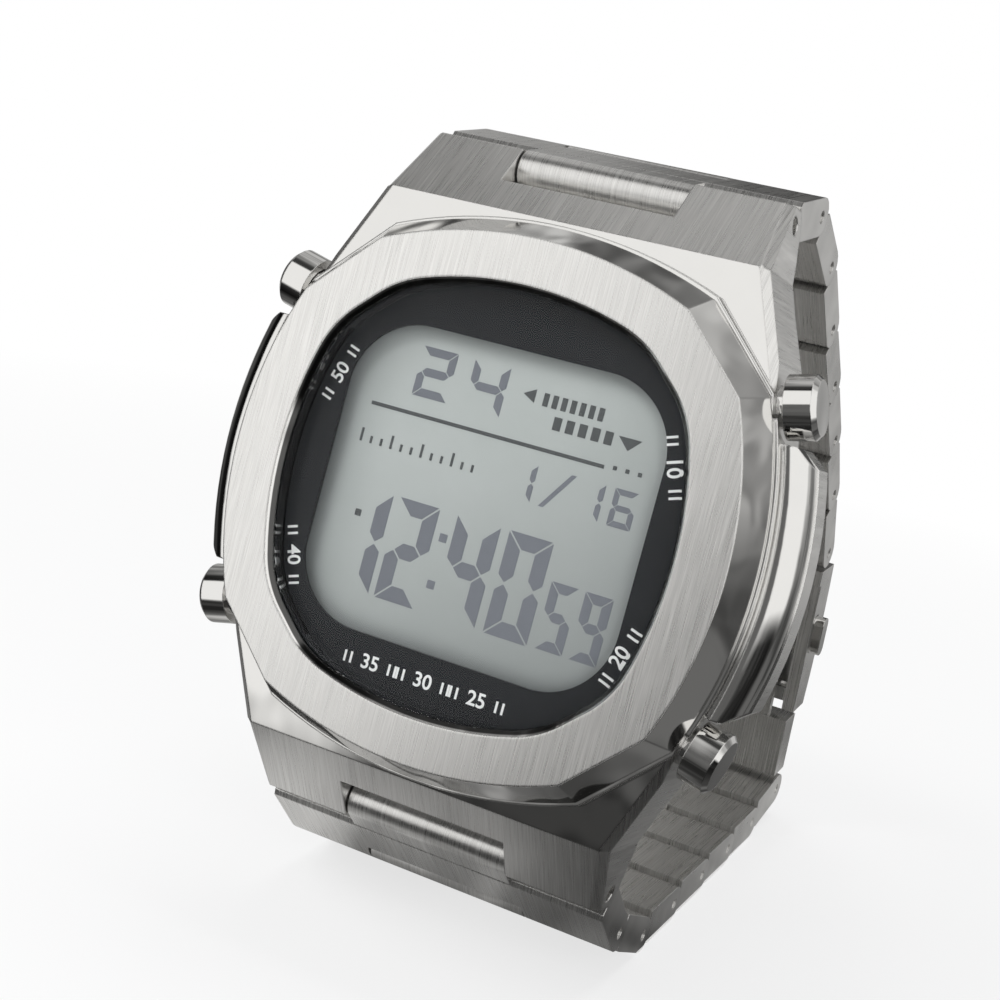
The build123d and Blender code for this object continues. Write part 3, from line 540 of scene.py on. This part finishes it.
# Driven numerals: left, bottom, width, height and width of a bar
driven = []
for text, left, bottom, width, height, bar in (
    # hours, minutes and seconds
    ("1", -10.55, -8.75, 3.4, 7.6, 1.15),
    ("2", -6.65, -8.75, 3.4, 7.6, 1.15),
    ("4", -1.75, -8.75, 3.5, 7.6, 1.15),
    ("0", 2.45, -8.75, 3.5, 7.6, 1.15),
    ("5", 6.55, -8.65, 2.15, 4.9, 0.72),
    ("9", 9.2, -8.65, 2.15, 4.9, 0.72),
    # the pair at the top left
    ("2", -7.9, 6.3, 2.9, 3.7, 0.62),
    ("4", -3.6, 6.3, 2.9, 3.7, 0.62),
    # month and day
    ("1", 1.6, 1.1, 1.7, 2.7, 0.42),
    ("1", 6.9, 1.1, 1.7, 2.7, 0.42),
    ("6", 9.3, 1.1, 1.8, 2.7, 0.42),
):
    driven += numeral(text, left, bottom, width, height, bar)
slash = [(4.0, 1.05), (4.4, 1.05), (6.3, 3.8), (5.9, 3.8)]
colon = [square(-2.75, bottom, 0.62, 0.62) for bottom in (-3.45, -6.95)]
plates("display_bars", [*driven, slash, *colon], display_level, segment_ink)

# Printed on the display: a rule with three dots, two pointers with rows of bars, a scale and a spot
rule = square(-10.9, 4.82, 18.95, 0.28)
dots = [square(left, 4.93, 0.3, 0.3) for left in (8.7, 9.65, 10.6)]
left_pointer = [(0.7, 8.5), (1.65, 8.0), (1.65, 9.0)]
down_pointer = [(8.5, 7.35), (9.4, 6.45), (10.3, 7.35)]
upper_bars = [square(2.3 + index * 0.72, 7.95, 0.42, 0.95) for index in range(7)]
lower_bars = [square(3.5 + index, 6.5, 0.62, 0.95) for index in range(5)]
scale = [square(-11.1 + index * 0.85, 2.0, 0.2, 0.55 if index % 3 else 1.0) for index in range(12)]
spot = square(-9.9, -3.4, 0.5, 0.5)
printed = [rule, *dots, left_pointer, down_pointer, *upper_bars, *lower_bars, *scale, spot]
plates("display_print", printed, display_level, printed_ink)


def turned(flat, x, y, angle):
    """Flat points turned by an angle in degrees about zero and then moved to x, y."""
    cosine, sine = math.cos(math.radians(angle)), math.sin(math.radians(angle))
    across, up = np.asarray(flat, float).T
    return np.column_stack([x + across * cosine - up * sine, y + across * sine + up * cosine])


def minute_marks(x, y, angle):
    """Two short strokes on each side of a minute numeral, turned with it."""
    width, height = 0.18, 0.84
    return [
        turned(square(middle - width / 2, -height / 2, width, height), x, y, angle)
        for middle in (-2.1, -1.6, 1.6, 2.1)
    ]


def mask_numeral(text, x, y, angle):
    """A plain minute numeral made a mesh from Blender's own type, laid on the mask and turned."""
    size = 1.5
    curve = bpy.data.curves.new("minute_" + text, "FONT")
    curve.body = text
    curve.size = size
    curve.align_x = "CENTER"
    curve.align_y = "CENTER"
    curve.offset = size * 0.018
    curve.resolution_u = 6
    holder = bpy.data.objects.new("minute_type", curve)
    mesh = bpy.data.meshes.new_from_object(holder)
    bpy.data.objects.remove(holder)
    points = np.empty(len(mesh.vertices) * 3)
    mesh.vertices.foreach_get("co", points)
    flat = turned(points.reshape(-1, 3)[:, :2], x, y, angle)
    laid = np.column_stack([flat, np.full(len(flat), mask_level + mark_thickness)])
    mesh.vertices.foreach_set("co", to_row(laid).ravel())
    wear("minute_" + text, mesh, label_ink)


# Minute numerals round the mask: place and turn in degrees
marks = []
for text, x, y, angle in (
    ("50", -13.45, 6.5, 72.0),
    ("40", -13.4, -7.5, -72.0),
    ("10", 13.3, 6.2, -72.0),
    ("20", 13.2, -7.3, 72.0),
    ("35", -5.0, -13.35, 0.0),
    ("30", -0.6, -13.35, 0.0),
    ("25", 3.8, -13.35, 0.0),
):
    mask_numeral(text, x, y, angle)
    marks += minute_marks(x, y, angle)
plates("minute_marks", marks, mask_level, label_ink)


def studio_floor():
    """A pale floor that takes the object's shadow, and that the camera, glass and mirrors see as white.

    The share of that white grows from near to far, so that the shadow shows round the object only.
    """
    half = 4.0
    corners = [(-half, -half, 0), (half, -half, 0), (half, half, 0), (-half, half, 0)]
    mesh = bpy.data.meshes.new("floor")
    mesh.from_pydata(corners, [], [(0, 1, 2, 3)])
    floor = bpy.data.objects.new("floor", mesh)
    bpy.context.scene.collection.objects.link(floor)
    pale_grey = (0.86, 0.86, 0.86, 1)
    finish = Finish("white_floor", Base_Color=pale_grey, Roughness=0.9, Specular_IOR_Level=0.1)
    away = finish.node(
        "ShaderNodeVectorMath",
        {"operation": "LENGTH"},
        [finish.node("ShaderNodeTexCoord", output="Object")],
        "Value",
    )
    share = finish.node(
        "ShaderNodeMapRange",
        {},
        {"Value": away, "From Min": 0.03, "From Max": 0.22, "To Min": 0.72, "To Max": 1.0},
    )
    pale = Shade(finish, finish.shader.outputs[0])
    white = finish.node("ShaderNodeEmission")
    both = finish.node("ShaderNodeMixShader", {}, [finish.studio_seen() * share, pale, white])
    finish.tree.links.new(both.socket, finish.tree.nodes["Material Output"].inputs["Surface"])
    mesh.materials.append(finish.material)


def studio_world():
    """Soft light from all round, white where the camera, glass and mirrors look at it."""
    world = bpy.data.worlds.new("studio")
    bpy.context.scene.world = world
    world.use_nodes = True
    web = Web(world.node_tree)
    web.tree.nodes.remove(web.tree.nodes["Background"])
    soft = web.node("ShaderNodeBackground", {}, {"Color": (0.95, 0.97, 1.0, 1), "Strength": 0.32})
    white = web.node("ShaderNodeBackground", {}, {"Color": (1, 1, 1, 1), "Strength": 1.0})
    both = web.node("ShaderNodeMixShader", {}, [web.studio_seen(), soft, white])
    web.tree.links.new(both.socket, web.tree.nodes["World Output"].inputs["Surface"])


def lamp(name, place, width, height, power):
    """A soft rectangular lamp at a place in the dial's millimetres, facing the dial's centre.

    The steel doesn't mirror it: the tent gives the steel what it mirrors.
    """
    data = bpy.data.lights.new(name, "AREA")
    data.shape = "RECTANGLE"
    data.size = width * MM
    data.size_y = height * MM
    data.energy = power
    lit = bpy.data.objects.new(name, data)
    spot = Vector(to_row(place))
    facing = (Vector(dial_origin) - spot).to_track_quat("-Z", "Y").to_matrix().to_4x4()
    lit.matrix_world = Matrix.Translation(spot) @ facing
    lit.visible_glossy = False
    bpy.context.scene.collection.objects.link(lit)


def tent_cloth():
    """Light of the tent by the direction from the dial's centre, in the dial's own axes.

    A box of light stands at the upper left and one at the right. Behind and beside the watch the cloth
    is grey and cloudy, with dark flags at the lower right, at the left and behind the wrist.
    """
    finish = Finish("tent_cloth", Base_Color=(0, 0, 0, 1), Specular_IOR_Level=0.0, Emission_Strength=1.0)
    from_dial = finish.node(
        "ShaderNodeVectorMath",
        {"operation": "SUBTRACT"},
        [finish.node("ShaderNodeTexCoord", output="Object"), tuple(dial_origin)],
    )
    away = finish.node("ShaderNodeVectorMath", {"operation": "NORMALIZE"}, [from_dial])
    x, y, z = (finish.along(away, axis) for axis in (dial_x, dial_y, dial_z))
    upward = 0.58 + y.above(-0.08, 0.28) * 0.67
    left_box = (y * 0.35 - x).above(0.29, 0.34) * z.above(0.58, 0.16) * upward * 2.1
    right_box = x.above(0.24, 0.12) * z.above(-0.02, 0.3) * y.above(-0.13, 0.16) * 1.2
    zenith = z.above(0.85, 0.1) * 0.09
    right_flag = (x * 0.75 - y * 0.55 - z * 0.35).above(0.74, 0.3) * 0.75
    left_flag = (x * -1).above(0.78, 0.2) * 0.85
    wrist_flag = (z * -1).above(0.5, 0.3) * x.above(-0.3, 0.15) * (1 - x.above(0.12, 0.15)) * 0.8
    unflagged = (1 - right_flag) * (1 - left_flag) * (1 - wrist_flag)
    clouds = 0.5 + finish.noise(away, (0.28, 0.28, 0.28), 2.0).above(0.5, 0.22) * 0.8
    behind = (0.45 - (z - y * 0.15).above(0.05, 0.35) * 0.41) * unflagged * clouds
    tone = (left_box + right_box + zenith + behind).math("MINIMUM", 2.2)
    finish.set("Emission Color", finish.mix(tone, (0.0, 0.0, 0.0), (1.0, 0.995, 0.98)))
    return finish.material


def tent():
    """A light tent that only mirrors see: a dome over a disc, toned by direction.

    A grid of turn and climb angles gives the dome's points as radius times (cosine of the climb times
    cosine and sine of the turn, sine of the climb). The last row runs in to the middle as the disc, and
    the whole stands a little above the floor.
    """
    radius, turns, climbs = 0.28, 48, 16
    pole_gap, disc_hole, lift = 0.01, 0.02, 0.001
    turn = np.linspace(0, 2 * np.pi, turns, endpoint=False)
    climb = np.linspace(np.pi / 2 - pole_gap, 0, climbs)[:, None]
    reach = np.vstack([np.cos(climb), [[disc_hole]]]) * np.ones(turns)
    height = np.vstack([np.sin(climb), [[0.0]]]) * np.ones(turns) + lift
    points = np.stack([reach * np.cos(turn), reach * np.sin(turn), height], axis=2) * radius
    rows, columns = np.meshgrid(np.arange(climbs), np.arange(turns), indexing="ij")
    first, second = rows * turns, (rows + 1) * turns
    after = (columns + 1) % turns
    quads = np.stack([first + columns, second + columns, second + after, first + after], axis=2)
    mesh = bpy.data.meshes.new("tent")
    mesh.from_pydata(points.reshape(-1, 3).tolist(), [], quads.reshape(-1, 4).tolist())
    mesh.materials.append(tent_cloth())
    cloth = bpy.data.objects.new("tent", mesh)
    bpy.context.scene.collection.objects.link(cloth)
    cloth.visible_camera = False
    cloth.visible_diffuse = False
    cloth.visible_transmission = False
    cloth.visible_shadow = False


# Studio
studio_floor()
studio_world()
lamp("key", (-150, 190, 190), 160, 160, 0.52)
lamp("fill", (190, 60, 160), 180, 140, 0.2)
lamp("top", (0, 260, -40), 200, 160, 0.35)
tent()
bpy.context.scene.view_settings.view_transform = "Standard"
